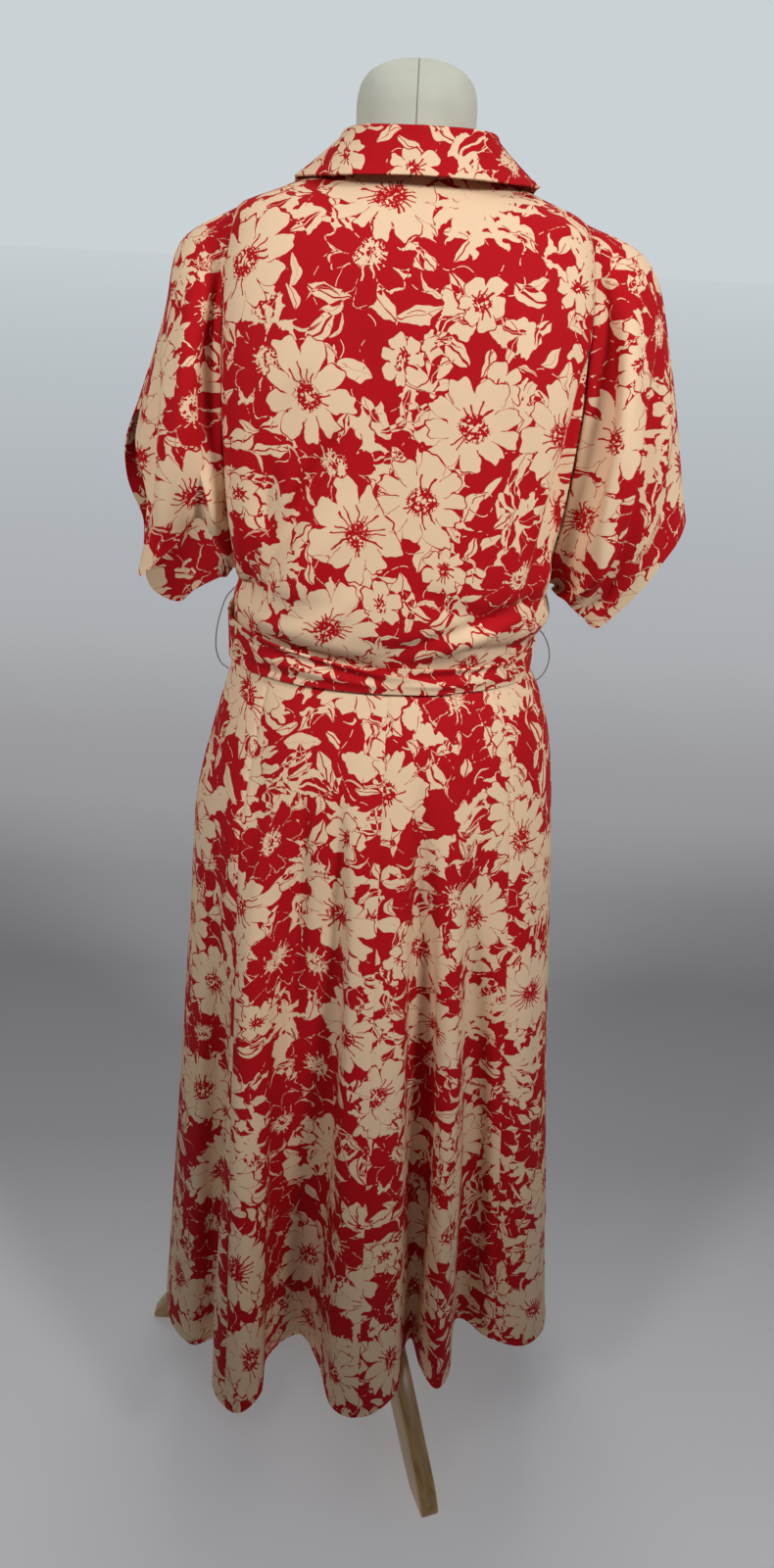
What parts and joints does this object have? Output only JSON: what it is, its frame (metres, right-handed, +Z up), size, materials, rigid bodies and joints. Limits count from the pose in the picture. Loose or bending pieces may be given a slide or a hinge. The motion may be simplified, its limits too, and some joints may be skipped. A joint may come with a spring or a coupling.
{
  "type": "wrap dress on a dress form",
  "caption": "Midi wrap dress with wide elbow-length sleeves, a shirt collar and waist ties, worn by a limbless dress form on a wooden tripod stand.",
  "frame": {"origin": "middle of the part's outline on the floor plane that the tripod's leg tips rest on", "axes": "+Z up; the back of the dress faces -Y and its front +Y; the wearer's right is +X"},
  "size_m": [0.5232, 0.4886, 1.396],
  "materials": {
    "floral_crepe": "matte fine crepe, red with cream flowers",
    "thread": "twisted sewing thread",
    "jersey": "matte fine knit",
    "beech": "satin varnish",
    "steel": "satin"
  },
  "bodies": {
    "root": {"bodice_back": "floral_crepe", "bodice_front_right": "floral_crepe", "bodice_front_left": "floral_crepe", "sleeve_left": "floral_crepe", "sleeve_right": "floral_crepe", "collar_stand": "floral_crepe", "collar_fall": "floral_crepe", "skirt_back_left_side": "floral_crepe", "skirt_back_left": "floral_crepe", "skirt_back_right": "floral_crepe", "skirt_back_right_side": "floral_crepe", "skirt_front_right": "floral_crepe", "skirt_front_left": "floral_crepe", "tie_right": "floral_crepe", "tie_left": "floral_crepe", "tie_knot": "floral_crepe", "tie_tail_1": "floral_crepe", "tie_tail_2": "floral_crepe", "loop_left": "thread", "loop_right": "thread", "form_torso": "jersey", "form_pole": "steel", "form_hub": "beech", "form_leg_1": "beech", "form_leg_2": "beech", "form_leg_3": "beech"}
  },
  "joints": []
}
